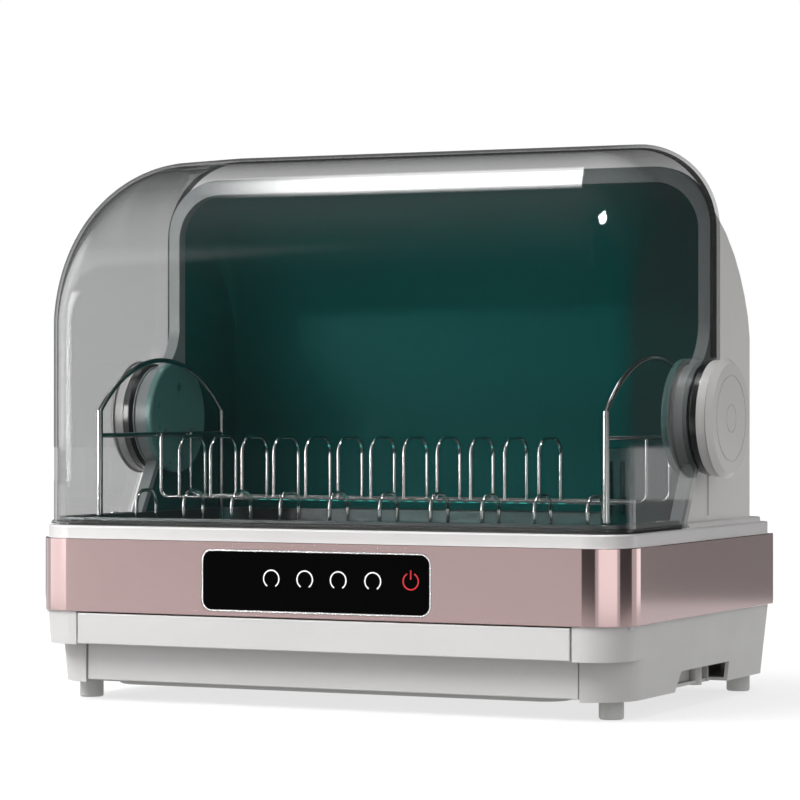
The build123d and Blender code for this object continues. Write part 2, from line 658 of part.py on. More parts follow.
with BuildPart() as lid_shell:
    loft(lid_sections(0.0, 138.0, LID_REAR), ruled=True)
    # outward lip along the lower edge
    extrude(plan(138.0, 247.3, 7.6, 230, 28, 5), amount=2.6)
    with BuildSketch(Plane.XZ.offset(-Y(LID_REAR))):
        with Locations((0, 250)):
            Rectangle(560, 400)
    extrude(amount=-30, mode=Mode.SUBTRACT)
    loft(lid_sections(LID_T, 136.0, LID_REAR + 0.5), ruled=True, mode=Mode.SUBTRACT)
    # slanted rear edge below the hinge
    wedge = [(slant_y(120), 120), (HINGE_Y, HINGE_Z), (250, HINGE_Z), (250, 120)]
    extrude(side(-260, wedge), amount=520, mode=Mode.SUBTRACT)
    for s in (1, -1):
        extrude(disc(s * (LID_HW - LID_T), 43.0), amount=s * LID_T)
        extrude(disc(s * (LID_HW - LID_T - 1), 34.1), amount=s * (LID_T + 2), mode=Mode.SUBTRACT)
finish(lid_shell, "lid_shell")

with BuildPart() as lid_edge_seal:
    loft(
        [arch(y, LID_HW - LID_T - 0.05, 268, lid_z(y, LID_T + 0.06), 65.2) for y in (207.0, 215.6)],
        ruled=True,
    )
    loft(
        [arch(y, LID_HW - LID_T - 1.2, 260, lid_z(y, LID_T + 1.3), 64.0) for y in (206.5, 216.1)],
        ruled=True,
        mode=Mode.SUBTRACT,
    )
finish(lid_edge_seal, "lid_edge_seal")

# ================================================================ drawer
with BuildPart() as drawer_front:
    # stepped fascia: proud upper lip, set-back lower panel
    with BuildSketch(Plane.XY.offset(45.0)):
        with Locations((0, Y(2.1))):
            Rectangle(2 * DRAWER_HW, 2.6)
    extrude(amount=24.2)
    with BuildSketch(Plane.XY.offset(45.0)):
        with Locations((0, Y(10.2))):
            Rectangle(2 * DRAWER_HW, 18.8)
    extrude(amount=2.5)
    with BuildSketch(Plane.XY.offset(16.0)):
        with Locations((0, Y(18.3))):
            Rectangle(2 * DRAWER_HW, 2.6)
    extrude(amount=31.5)
    for s in (1, -1):
        with BuildSketch(Plane.XY.offset(45.0)):
            with Locations((s * (DRAWER_HW - 1.2), Y(10.2))):
                Rectangle(2.4, 18.8)
        extrude(amount=24.2)
    outer_edges = drawer_front.edges().filter_by(lambda e: e.center().Y < Y(1.0))
    fillet(outer_edges, 1.0)
    panel_edges = drawer_front.edges().filter_by(
        lambda e: abs(e.center().Y - Y(17.0)) < 0.05 and e.center().Z < 40
    )
    fillet(panel_edges, 0.9)
finish(drawer_front, "drawer_front")

with BuildPart() as drip_tray:
    extrude(plan(12.6, 192, 22.0, 290, 22, 22), amount=8)
    fillet(drip_tray.edges().group_by(Axis.Z)[0], 4.0)
    extrude(plan(15.2, 197.5, 19.7, 292, 6, 14), amount=44.8)
    extrude(plan(14.8, 190, 24.0, 288, 20, 20), amount=6, mode=Mode.SUBTRACT)
    extrude(plan(17.4, 195.3, 21.9, 289.8, 5, 12), amount=60, mode=Mode.SUBTRACT)
    for s in (1, -1):
        with Locations((s * 201.2, Y(156), 40.2)):
            Box(8.4, 268, 2.0, align=(Align.CENTER, Align.CENTER, Align.MIN))
finish(drip_tray, "drip_tray")

for side_name, s in SIDES:
    with BuildPart() as drawer_rail:
        with BuildSketch(Plane.XZ.offset(-Y(24))):
            with BuildLine():
                Polyline(
                    (s * 208.5, 30),
                    (s * 208.5, 46),
                    (s * 199.0, 46),
                    (s * 199.0, 44.6),
                    (s * 206.6, 44.6),
                    (s * 206.6, 39.8),
                    (s * 199.0, 39.8),
                    (s * 199.0, 38.0),
                    (s * 206.6, 38.0),
                    (s * 206.6, 30),
                    close=True,
                )
            make_face()
        extrude(amount=-282)
    finish(drawer_rail, "drawer_rail_" + side_name)

# ================================================================ lamp, heater, blower
LAMP_Y, LAMP_Z = 150.0, 117.0
with BuildPart() as uv_lamp:
    with BuildSketch(Plane.YZ.offset(-140)):
        with Locations((Y(LAMP_Y), LAMP_Z)):
            Circle(7.8)
            Circle(6.8, mode=Mode.SUBTRACT)
    extrude(amount=280)
finish(uv_lamp, "uv_lamp")

with BuildPart() as uv_lamp_caps:
    for s in (1, -1):
        extrude(disc(s * 140.05, 8.0, LAMP_Y, LAMP_Z), amount=s * 9)
        with Locations(*[(s * 151.5, Y(LAMP_Y) + dy, LAMP_Z) for dy in (-2.5, 2.5)]):
            Cylinder(1.0, 5, rotation=(0, 90, 0))
finish(uv_lamp_caps, "uv_lamp_caps")

with BuildPart() as lamp_holders:
    for s in (1, -1):
        with Locations((s * 156, Y(LAMP_Y), BASIN_Z + 0.05)):
            Box(12, 22, 22, align=(Align.CENTER, Align.CENTER, Align.MIN))
        with Locations((s * 156, Y(LAMP_Y), BASIN_Z + 0.05)):
            Box(22, 30, 2.4, align=(Align.CENTER, Align.CENTER, Align.MIN))
        with Locations(*[(s * 151.9, Y(LAMP_Y) + dy, LAMP_Z) for dy in (-2.5, 2.5)]):
            Cylinder(1.2, 6, rotation=(0, 90, 0), mode=Mode.SUBTRACT)
    fillet(lamp_holders.edges().group_by(Axis.Z)[-1], 1.5)
finish(lamp_holders, "lamp_holders")

with BuildPart() as lamp_guard:
    with BuildSketch(Plane.YZ.offset(-142)):
        with Locations((Y(LAMP_Y), BASIN_Z + 13.05)):
            RectangleRounded(36, 26, 8)
            RectangleRounded(34.4, 24.4, 7.2, mode=Mode.SUBTRACT)
        with Locations((Y(LAMP_Y), BASIN_Z + 3)):
            Rectangle(60, 6.0, mode=Mode.SUBTRACT)
    extrude(amount=284)
    with BuildSketch(Plane.XZ.offset(-Y(LAMP_Y - 30))):
        with Locations((0, BASIN_Z + 13)):
            with GridLocations(11, 0, 25, 1):
                SlotOverall(11, 6.5, rotation=90)
    extrude(amount=-60, mode=Mode.SUBTRACT)
    with BuildSketch(Plane.XY.offset(BASIN_Z + 15)):
        with Locations((0, Y(LAMP_Y))):
            with GridLocations(11, 0, 25, 1):
                SlotOverall(20, 6.5, rotation=90)
    extrude(amount=20, mode=Mode.SUBTRACT)
finish(lamp_guard, "lamp_guard")

with BuildPart() as heater_duct:
    with BuildSketch(Plane.XY.offset(100.2)):
        with Locations((0, Y(290.5))):
            Rectangle(229, 23)
            Rectangle(226, 20, mode=Mode.SUBTRACT)
    extrude(amount=40.6)
finish(heater_duct, "heater_duct")

with BuildPart() as heater:
    for bz in (112, 132):
        with Locations((0, Y(290.5), bz)):
            Box(220, 12, 3)
    with Locations((0, Y(290.5), 122)):
        with GridLocations(5.5, 0, 39, 1):
            Box(0.8, 12, 18)
    with Locations(*[(sx, Y(290.5), 122) for sx in (-111.4, 111.4)]):
        Box(2.8, 14, 24)
finish(heater, "heater")

with BuildPart() as air_grille:
    extrude(plan(Z_PLINTH + 0.05, 121, 277.2, 303.6, 4, 4), amount=2.2)
    fillet(air_grille.edges().group_by(Axis.Z)[-1], 0.8)
    with BuildSketch(Plane.XY.offset(Z_PLINTH - 1)):
        with Locations((0, Y(290.4))):
            with GridLocations(6.2, 0, 36, 1):
                SlotOverall(19, 3.2, rotation=90)
    extrude(amount=6, mode=Mode.SUBTRACT)
finish(air_grille, "air_grille")

FAN_Y = 262.0
with BuildPart() as blower_housing:
    with Locations((0, Y(264.5), 76.2)):
        Box(104, 76, 23.6, align=(Align.CENTER, Align.CENTER, Align.MIN))
    fillet(blower_housing.edges().filter_by(Axis.Z), 10)
    with Locations((0, Y(FAN_Y), 78.4)):
        Cylinder(33, 19.2, align=(Align.CENTER, Align.CENTER, Align.MIN), mode=Mode.SUBTRACT)
    with BuildSketch(Plane.XY.offset(78.4)):
        with Locations((22, Y(282))):
            Rectangle(42, 34)
    extrude(amount=19.2, mode=Mode.SUBTRACT)
    with BuildSketch(Plane.XY.offset(90)):
        with Locations((22, Y(291))):
            Rectangle(40, 14)
    extrude(amount=20, mode=Mode.SUBTRACT)
    # inlet from below
    with Locations((0, Y(FAN_Y), 74)):
        with PolarLocations(18, 8):
            Cylinder(4.2, 8, align=(Align.CENTER, Align.CENTER, Align.MIN), mode=Mode.SUBTRACT)
    with Locations(*[(px, Y(py), 72.0) for px in (-46, 46) for py in (234, 296)]):
        Cylinder(3, 4.6, align=(Align.CENTER, Align.CENTER, Align.MIN))
finish(blower_housing, "blower_housing")

with BuildPart() as fan_motor:
    with Locations((0, Y(FAN_Y), 78.45)):
        Cylinder(10, 5.2, align=(Align.CENTER, Align.CENTER, Align.MIN))
        Cylinder(1.95, 15.0, align=(Align.CENTER, Align.CENTER, Align.MIN))
finish(fan_motor, "fan_motor")

with BuildPart() as fan_rotor:
    with Locations((0, Y(FAN_Y), 84.2)):
        Cylinder(29.5, 1.4, align=(Align.CENTER, Align.CENTER, Align.MIN))
    with Locations((0, Y(FAN_Y), 84.2)):
        Cylinder(6, 10.4, align=(Align.CENTER, Align.CENTER, Align.MIN))
    with Locations((0, Y(FAN_Y), 90.0)):
        with PolarLocations(25, 24):
            with Locations(Location((0, 0, 0), (0, 0, 38))):
                Box(8.0, 0.9, 9.2)
    with BuildSketch(Plane.XY.offset(93.4)):
        with Locations((0, Y(FAN_Y))):
            Circle(29.5)
            Circle(21.0, mode=Mode.SUBTRACT)
    extrude(amount=1.2)
    with Locations((0, Y(FAN_Y), 80)):
        Cylinder(2.0, 20, align=(Align.CENTER, Align.CENTER, Align.MIN), mode=Mode.SUBTRACT)
finish(fan_rotor, "fan_rotor")

# ================================================================ wire rack
RACK_Y0, RACK_Y1 = 50.0, 252.0
FOOT_Z = BASIN_Z + 2.0
ARCH_R, ARCH_TOP = 143.65, 267.5     # arched top wire of each side
ARCH_A = math.asin(101.0 / ARCH_R) + math.radians(0.5)
LONG_Z = BASIN_Z + 10.25             # long cross wires


def rod(p, q, r):
    """Straight round wire from p to q."""
    a, b = Vector(*p), Vector(*q)
    with BuildPart() as out:
        with BuildSketch(Plane(origin=a, z_dir=(b - a))):
            Circle(r)
        extrude(amount=(b - a).length)
    return out.part


def loop(points, radius, bend):
    with BuildPart() as out:
        with BuildLine() as path:
            pl = FilletPolyline(*points, radius=bend)
        with BuildSketch(Plane(origin=pl @ 0, z_dir=pl % 0)):
            Circle(radius)
        sweep()
    return out.part


for side_name, s in SIDES:
    x = s * RACK_X
    with BuildPart() as rack_side:
        with Locations((x, Y(RACK_Y0), FOOT_Z), (x, Y(RACK_Y1), FOOT_Z)):
            Cylinder(2.5, 226.6 - FOOT_Z, align=(Align.CENTER, Align.CENTER, Align.MIN))
        for bar_z in (206.8, 110.6):
            with Locations((x, Y(151), bar_z)):
                Cylinder(2.0, RACK_Y1 - RACK_Y0, rotation=(90, 0, 0))
        with BuildSketch(
            Plane(
                origin=(
                    x,
                    Y(151) - ARCH_R * math.sin(ARCH_A),
                    ARCH_TOP - ARCH_R + ARCH_R * math.cos(ARCH_A),
                ),
                x_dir=(1, 0, 0),
                z_dir=(0, math.cos(ARCH_A), math.sin(ARCH_A)),
            )
        ):
            Circle(2.0)
        revolve(
            axis=Axis((x, Y(151), ARCH_TOP - ARCH_R), (-1, 0, 0)),
            revolution_arc=2 * math.degrees(ARCH_A),
        )
    finish(rack_side, "rack_side_" + side_name)

with BuildPart() as rack_feet:
    for x in (RACK_X, -RACK_X):
        for y in (50, 252):
            with Locations((x, Y(y), BASIN_Z + 0.1)):
                Cylinder(4.2, 4.3, align=(Align.CENTER, Align.CENTER, Align.MIN))
            with Locations((x, Y(y), FOOT_Z)):
                Cylinder(2.5, 8, align=(Align.CENTER, Align.CENTER, Align.MIN), mode=Mode.SUBTRACT)
finish(rack_feet, "rack_feet")

# cross wires lying on the foot bars of the two sides
with BuildPart() as rack_long_wires:
    for y in (66.0, 104.0, 212.0, 244.0):
        add(rod((-RACK_X, Y(y), LONG_Z), (RACK_X, Y(y), LONG_Z), 1.6))
finish(rack_long_wires, "rack_long_wires")

with BuildPart() as rack_hangers:
    for y, z in ((142.5, 156.0), (192.0, 156.0)):
        add(
            loop(
                [
                    (-212.4, Y(y), 208.0),
                    (-212.4, Y(y), z),
                    (212.4, Y(y), z),
                    (212.4, Y(y), 208.0),
                ],
                1.45,
                7.0,
            )
        )
finish(rack_hangers, "rack_hangers")

with BuildPart() as rack_dividers_front:
    one = loop([(0, Y(69.1), 112.8), (0, Y(69.1), 163), (0, Y(100.9), 163), (0, Y(100.9), 112.8)], 1.4, 12.0)
    with Locations(*[(-193.5 + 43.0 * k, 0, 0) for k in range(10)]):
        add(one)
finish(rack_dividers_front, "rack_dividers_front")

with BuildPart() as rack_dividers_rear:
    two = loop([(0, Y(145.45), 154.8), (0, Y(145.45), 205), (0, Y(189.05), 205), (0, Y(189.05), 154.8)], 1.4, 14.0)
    with Locations(*[(-197.0 + 29.0 * k, 0, 0) for k in range(12)]):
        add(two)
finish(rack_dividers_rear, "rack_dividers_rear")

# ================================================================ cutlery holder
HX0, HX1, HY0, HY1, HZ0, HZ1 = 150.0, 210.5, 197.0, 258.0, 116.6, 196.8
with BuildPart() as cutlery_holder:
    with Locations(((HX0 + HX1) / 2, Y((HY0 + HY1) / 2), HZ0)):
        Box(HX1 - HX0, HY1 - HY0, HZ1 - HZ0, align=(Align.CENTER, Align.CENTER, Align.MIN))
    fillet(cutlery_holder.edges().filter_by(Axis.Z), 9)
    top = cutlery_holder.faces().sort_by(Axis.Z)[-1]
    offset(amount=-1.8, openings=top)
    # rolled rim
    with BuildSketch(Plane.XY.offset(HZ1 - 3.0)):
        with Locations(((HX0 + HX1) / 2, Y((HY0 + HY1) / 2))):
            RectangleRounded(HX1 - HX0 + 1.6, HY1 - HY0 + 1.6, 9.8)
            RectangleRounded(HX1 - HX0 - 3.6, HY1 - HY0 - 3.6, 7.2, mode=Mode.SUBTRACT)
    extrude(amount=3.0)
    # vertical slots in all four walls, low slots, and drain holes
    with BuildSketch(Plane.XZ.offset(-Y(HY0 - 10))):
        with Locations(((HX0 + HX1) / 2, 166.0)):
            with GridLocations(9.0, 0, 5, 1):
                SlotOverall(42, 4.2, rotation=90)
        with Locations(((HX0 + HX1) / 2, 131.0)):
            with GridLocations(4.6, 0, 9, 1):
                SlotOverall(14, 2.2, rotation=90)
    extrude(amount=-90, mode=Mode.SUBTRACT)
    with BuildSketch(Plane.YZ.offset(HX0 - 10)):
        with Locations((Y((HY0 + HY1) / 2), 166.0)):
            with GridLocations(9.0, 0, 5, 1):
                SlotOverall(42, 4.2, rotation=90)
    extrude(amount=90, mode=Mode.SUBTRACT)
    with BuildSketch(Plane.XY.offset(HZ0 - 5)):
        with Locations(((HX0 + HX1) / 2, Y((HY0 + HY1) / 2))):
            with GridLocations(10, 10, 4, 4):
                Circle(2.4)
    extrude(amount=10, mode=Mode.SUBTRACT)
finish(cutlery_holder, "cutlery_holder")
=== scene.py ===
import bpy
import bmesh
import math
from mathutils import Matrix, Vector


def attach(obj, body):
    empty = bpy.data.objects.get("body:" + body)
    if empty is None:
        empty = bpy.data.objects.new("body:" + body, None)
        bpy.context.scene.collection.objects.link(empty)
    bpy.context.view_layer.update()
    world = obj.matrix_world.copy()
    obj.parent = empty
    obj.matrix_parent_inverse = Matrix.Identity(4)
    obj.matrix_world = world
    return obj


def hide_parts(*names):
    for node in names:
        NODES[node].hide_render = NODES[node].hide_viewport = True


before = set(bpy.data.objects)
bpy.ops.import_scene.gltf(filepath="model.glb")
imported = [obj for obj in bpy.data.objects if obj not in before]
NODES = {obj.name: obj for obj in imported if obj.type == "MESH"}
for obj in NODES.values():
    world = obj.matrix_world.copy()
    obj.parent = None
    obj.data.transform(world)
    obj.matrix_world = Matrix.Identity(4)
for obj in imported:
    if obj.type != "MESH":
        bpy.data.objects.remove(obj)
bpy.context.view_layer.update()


def Y(v):
    """Depth counted back from the front of the trim band, mm, to the row frame in metres."""
    return (v - 165.5) / 1000.0


# ---------------------------------------------------------------- materials
def new_material(name):
    m = bpy.data.materials.new(name)
    m.use_nodes = True
    nt = m.node_tree
    nt.nodes.clear()
    out = nt.nodes.new("ShaderNodeOutputMaterial")
    p = nt.nodes.new("ShaderNodeBsdfPrincipled")
    nt.links.new(p.outputs[0], out.inputs[0])
    return m, nt, p


def coords(nt, scale=(1, 1, 1)):
    tc = nt.nodes.new("ShaderNodeTexCoord")
    mp = nt.nodes.new("ShaderNodeMapping")
    mp.inputs["Scale"].default_value = scale
    nt.links.new(tc.outputs["Object"], mp.inputs["Vector"])
    return mp.outputs["Vector"]


def noise(nt, vec, scale, detail=3.0, rough=0.55):
    n = nt.nodes.new("ShaderNodeTexNoise")
    n.inputs["Scale"].default_value = scale
    n.inputs["Detail"].default_value = detail
    n.inputs["Roughness"].default_value = rough
    nt.links.new(vec, n.inputs["Vector"])
    return n.outputs["Fac"]


def ramp(nt, fac, c0, c1, lo=0.3, hi=0.7):
    r = nt.nodes.new("ShaderNodeValToRGB")
    r.color_ramp.elements[0].position = lo
    r.color_ramp.elements[1].position = hi
    r.color_ramp.elements[0].color = (*c0, 1)
    r.color_ramp.elements[1].color = (*c1, 1)
    nt.links.new(fac, r.inputs["Fac"])
    return r.outputs["Color"]


def to_range(nt, fac, lo, hi, src_lo=0.3, src_hi=0.7):
    r = nt.nodes.new("ShaderNodeMapRange")
    r.inputs["From Min"].default_value = src_lo
    r.inputs["From Max"].default_value = src_hi
    r.inputs["To Min"].default_value = lo
    r.inputs["To Max"].default_value = hi
    nt.links.new(fac, r.inputs["Value"])
    return r.outputs["Result"]


def bump(nt, p, height, distance, strength=1.0):
    b = nt.nodes.new("ShaderNodeBump")
    b.inputs["Distance"].default_value = distance
    b.inputs["Strength"].default_value = strength
    nt.links.new(height, b.inputs["Height"])
    nt.links.new(b.outputs["Normal"], p.inputs["Normal"])


def moulded(name, color, rough, var=0.025, grain=1400.0, depth=0.000004, coat=0.0, ior=1.5, coat_rough=0.1):
    """Moulded plastic or rubber: fine spark-eroded grain, slow colour drift, uneven gloss."""
    m, nt, p = new_material(name)
    vec = coords(nt)
    c0 = tuple(max(c * (1 - var), 0) for c in color)
    c1 = tuple(min(c * (1 + var), 1) for c in color)
    nt.links.new(ramp(nt, noise(nt, vec, 9.0, 4.0), c0, c1), p.inputs["Base Color"])
    nt.links.new(
        to_range(nt, noise(nt, vec, 55.0, 3.0), rough * 0.88, min(rough * 1.12, 1.0)), p.inputs["Roughness"]
    )
    bump(nt, p, noise(nt, vec, grain, 2.0), depth, 0.5)
    p.inputs["IOR"].default_value = ior
    p.inputs["Coat Weight"].default_value = coat
    p.inputs["Coat Roughness"].default_value = coat_rough
    return m


def metal(name, color, rough, stretch=(1, 1, 1), grain=900.0, depth=0.000004, var=0.04, metallic=1.0):
    """Brushed or drawn metal: streaks along the direction with the smallest stretch."""
    m, nt, p = new_material(name)
    vec = coords(nt, stretch)
    streak = noise(nt, vec, grain, 4.0, 0.6)
    c0 = tuple(c * (1 - var) for c in color)
    c1 = tuple(min(c * (1 + var), 1) for c in color)
    nt.links.new(ramp(nt, streak, c0, c1), p.inputs["Base Color"])
    nt.links.new(to_range(nt, streak, rough * 0.8, rough * 1.25), p.inputs["Roughness"])
    bump(nt, p, streak, depth, 0.35)
    p.inputs["Metallic"].default_value = metallic
    return m


def clear(name, color, rough, alpha_face, alpha_edge, ior=1.9, power=0.35, gloss=None):
    """Clear moulded plastic: thin when seen face on, denser at grazing angles and at its edges."""
    m, nt, p = new_material(name)
    vec = coords(nt)
    c0 = tuple(c * 0.97 for c in color)
    nt.links.new(ramp(nt, noise(nt, vec, 6.0, 3.0), c0, color), p.inputs["Base Color"])
    nt.links.new(to_range(nt, noise(nt, vec, 30.0, 3.0), rough * 0.8, rough * 1.3), p.inputs["Roughness"])
    lw = nt.nodes.new("ShaderNodeLayerWeight")
    lw.inputs["Blend"].default_value = power
    pw = nt.nodes.new("ShaderNodeMath")
    pw.operation = "POWER"
    pw.inputs[1].default_value = 1.6
    nt.links.new(lw.outputs["Facing"], pw.inputs[0])
    nt.links.new(to_range(nt, pw.outputs[0], alpha_face, alpha_edge, 0.0, 1.0), p.inputs["Alpha"])
    if gloss:
        nt.links.new(to_range(nt, lw.outputs["Facing"], gloss[0], gloss[1], 0.10, 0.30), p.inputs["Specular IOR Level"])
    p.inputs["IOR"].default_value = ior
    return m


M = {
    "base": moulded("base_plastic", (0.57, 0.562, 0.555), 0.42),
    "rim": moulded("rim_plastic", (0.61, 0.60, 0.60), 0.34, coat=0.15),
    "drawer": moulded("drawer_plastic", (0.61, 0.602, 0.597), 0.36, coat=0.1),
    "shell": moulded("shell_plastic", (0.67, 0.66, 0.652), 0.38),
    "grey": moulded("grey_plastic", (0.30, 0.30, 0.30), 0.5),
    "cap": moulded("cap_grey", (0.61, 0.60, 0.59), 0.34, coat=0.1),
    "ring": moulded("ring_black", (0.012, 0.012, 0.012), 0.22, coat=0.4),
    "frame": moulded("frame_grey", (0.26, 0.29, 0.29), 0.35),
    "teal": moulded("hub_teal", (0.09, 0.24, 0.225), 0.3, coat=0.2),
    "liner": moulded("liner_dark", (0.001, 0.165, 0.150), 0.42, depth=0.0000015, ior=1.18),
    "black": moulded("black_plastic", (0.015, 0.015, 0.015), 0.45),
    "rubber": moulded("black_rubber", (0.012, 0.012, 0.012), 0.6, grain=900),
    "foot": moulded("foot_rubber", (0.56, 0.56, 0.55), 0.55, grain=900),
    "tray": moulded("tray_plastic", (0.48, 0.48, 0.47), 0.5),
    "white": moulded("white_plastic", (0.72, 0.72, 0.70), 0.45),
    "board": moulded("circuit_board", (0.015, 0.09, 0.035), 0.35, grain=500),
    "panel": moulded("panel_black", (0.001, 0.001, 0.001), 0.12, depth=0.0000004, ior=1.08),
    "band": metal("band_metal", (0.385, 0.285, 0.28), 0.10, (1, 1, 40), 220.0, 0.0000003, 0.012, 0.94),
    "steel": metal("screw_steel", (0.6, 0.6, 0.6), 0.28, (1, 1, 8)),
    "plate": metal("plate_steel", (0.58, 0.58, 0.58), 0.32, (1, 20, 20), 60.0),
    "basin": metal("basin_steel", (0.11, 0.12, 0.12), 0.34, (1, 20, 20), 60.0),
    "alu": metal("cap_aluminium", (0.72, 0.72, 0.73), 0.3, (1, 8, 8)),
    "wire": metal("rack_wire", (0.50, 0.52, 0.51), 0.10, (1, 1, 1), 400.0, 0.000002, 0.03),
    "lid": clear("lid_clear", (0.018, 0.020, 0.020), 0.03, 0.11, 1.0, 2.2, gloss=(0.028, 0.62)),
    "holder": clear("holder_smoke", (0.012, 0.07, 0.065), 0.12, 0.72, 0.95, 1.5),
    "tube": clear("lamp_glass", (0.3, 0.85, 0.85), 0.05, 0.6, 0.95, 1.5),
}

NODE_MATERIAL = {
    "base_housing": "base", "feet": "foot", "housing_screws": "steel", "partition_plate": "plate",
    "rim_deck": "rim", "trim_band": "band", "rear_panel": "grey", "cord_inlet": "black",
    "control_glass": "panel", "control_board": "board", "touch_springs": "steel", "power_board": "board",
    "basin": "basin", "seat_gasket": "rubber", "seat_screws": "steel", "back_shell": "shell",
    "rear_vent_cover": "grey", "inner_liner": "liner", "front_frame": "frame",
    "pivot_boss_left": "frame", "pivot_boss_right": "frame",
    "inner_hub_cover_left": "teal", "inner_hub_cover_right": "teal",
    "hinge_pin_left": "steel", "hinge_pin_right": "steel", "hub_screws": "steel", "lid_sensor": "black",
    "uv_lamp": "tube", "uv_lamp_caps": "alu", "lamp_holders": "white", "lamp_guard": "basin",
    "heater_duct": "plate", "heater": "alu", "air_grille": "black", "blower_housing": "black",
    "fan_motor": "steel", "drawer_rail_left": "plate", "drawer_rail_right": "plate", "fan_rotor": "black",
    "lid_shell": "lid", "lid_edge_seal": "rubber", "hinge_washer_left": "frame", "hinge_washer_right": "frame",
    "hinge_ring_left": "ring", "hinge_ring_right": "ring", "hub_cap_left": "cap", "hub_cap_right": "cap",
    "drawer_front": "drawer", "drip_tray": "tray", "rack_side_left": "wire", "rack_side_right": "wire",
    "rack_long_wires": "wire", "rack_hangers": "wire", "rack_dividers_front": "wire",
    "rack_dividers_rear": "wire", "rack_feet": "rubber", "cutlery_holder": "holder",
}
# painted shade: the liner's colour is darkened low in the cavity, standing in for the shadow the contents and the hood
# cast there
lnt = M["liner"].node_tree
lp_ = lnt.nodes["Principled BSDF"]
old = lp_.inputs["Base Color"].links[0].from_socket
ltc = lnt.nodes.new("ShaderNodeNewGeometry")
lsx = lnt.nodes.new("ShaderNodeSeparateXYZ")
lnt.links.new(ltc.outputs["Position"], lsx.inputs[0])
low = to_range(lnt, lsx.outputs[2], 0.42, 1.0, 0.22, 0.37)
shade = lnt.nodes.new("ShaderNodeVectorMath")
shade.operation = "SCALE"
lnt.links.new(old, shade.inputs[0])
lnt.links.new(low, shade.inputs["Scale"])
lnt.links.new(shade.outputs[0], lp_.inputs["Base Color"])

tube = M["tube"].node_tree.nodes["Principled BSDF"]
tube.inputs["Emission Color"].default_value = (0.05, 0.85, 0.80, 1)
tube.inputs["Emission Strength"].default_value = 4.0
for node, key in NODE_MATERIAL.items():
    ob = NODES[node]
    if not ob.material_slots:
        ob.data.materials.append(M[key])
    for s in ob.material_slots:
        s.material = M[key]


# ---------------------------------------------------------------- smooth shading of the lofted shells
def soft_shading(angle):
    """Joins the narrow strips of a lofted shell into one smooth surface and keeps its real edges sharp."""
    g = bpy.data.node_groups.new("soft_shading_%d" % angle, "GeometryNodeTree")
    g.interface.new_socket("Geometry", in_out="INPUT", socket_type="NodeSocketGeometry")
    g.interface.new_socket("Geometry", in_out="OUTPUT", socket_type="NodeSocketGeometry")
    gi, go = g.nodes.new("NodeGroupInput"), g.nodes.new("NodeGroupOutput")
    drop = g.nodes.new("GeometryNodeRemoveAttribute")
    drop.inputs["Name"].default_value = "custom_normal"
    weld = g.nodes.new("GeometryNodeMergeByDistance")
    weld.inputs["Distance"].default_value = 0.000002
    faces = g.nodes.new("GeometryNodeSetShadeSmooth")
    faces.domain = "FACE"
    edges = g.nodes.new("GeometryNodeSetShadeSmooth")
    edges.domain = "EDGE"
    ang = g.nodes.new("GeometryNodeInputMeshEdgeAngle")
    small = g.nodes.new("FunctionNodeCompare")
    small.data_type = "FLOAT"
    small.operation = "LESS_THAN"
    small.inputs[1].default_value = math.radians(angle)
    g.links.new(ang.outputs["Unsigned Angle"], small.inputs[0])
    g.links.new(small.outputs[0], edges.inputs["Shade Smooth"])
    g.links.new(gi.outputs[0], drop.inputs["Geometry"])
    g.links.new(drop.outputs["Geometry"], weld.inputs["Geometry"])
    g.links.new(weld.outputs["Geometry"], faces.inputs[0])
    g.links.new(faces.outputs[0], edges.inputs[0])
    g.links.new(edges.outputs[0], go.inputs[0])
    return g


SOFT = soft_shading(28)
for node in ("inner_liner", "back_shell"):
    NODES[node].modifiers.new("soft", "NODES").node_group = SOFT
    weighted = NODES[node].modifiers.new("weighted", "WEIGHTED_NORMAL")
    weighted.keep_sharp = True
    weighted.weight = 50


# ---------------------------------------------------------------- mesh helpers
def link(name, mesh, key, body):
    ob = bpy.data.objects.new(name, mesh)
    bpy.context.scene.collection.objects.link(ob)
    mesh.materials.append(M[key])
    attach(ob, body)
    return ob


def smooth(mesh, angle=35.0):
    mesh.polygons.foreach_set("use_smooth", [True] * len(mesh.polygons))
    mesh.set_sharp_from_angle(angle=math.radians(angle))
    mesh.update()


# ---------------------------------------------------------------- lid: one smooth clear shell
HX, HY_, HZ = 245.3, 190.5, 220.8
Z_LIP = 140.6
R_PATH, CY_PATH, CZ_PATH = 130.0, 139.6, 298.0
B_END = math.radians(84.1)
R0, R1 = 26.0, 68.0
REAR = 216.0


def lid_profile():
    """(start point, inward normal, corner radius, direction for the slope rows) along the front and top."""
    rows = []
    for i in range(15):
        z = Z_LIP + (CZ_PATH - Z_LIP) * i / 15
        rows.append(("flat", 9.6, z, 1.0, 0.0, R0))
    n = 44
    for i in range(n + 1):
        b = B_END * i / n
        t = i / n
        r = R0 + (R1 - R0) * (t * t * (3 - 2 * t) * 0.4 + 0.6 * t)
        rows.append(
            ("arc", CY_PATH - R_PATH * math.cos(b), CZ_PATH + R_PATH * math.sin(b), math.cos(b), -math.sin(b), r)
        )
    return rows


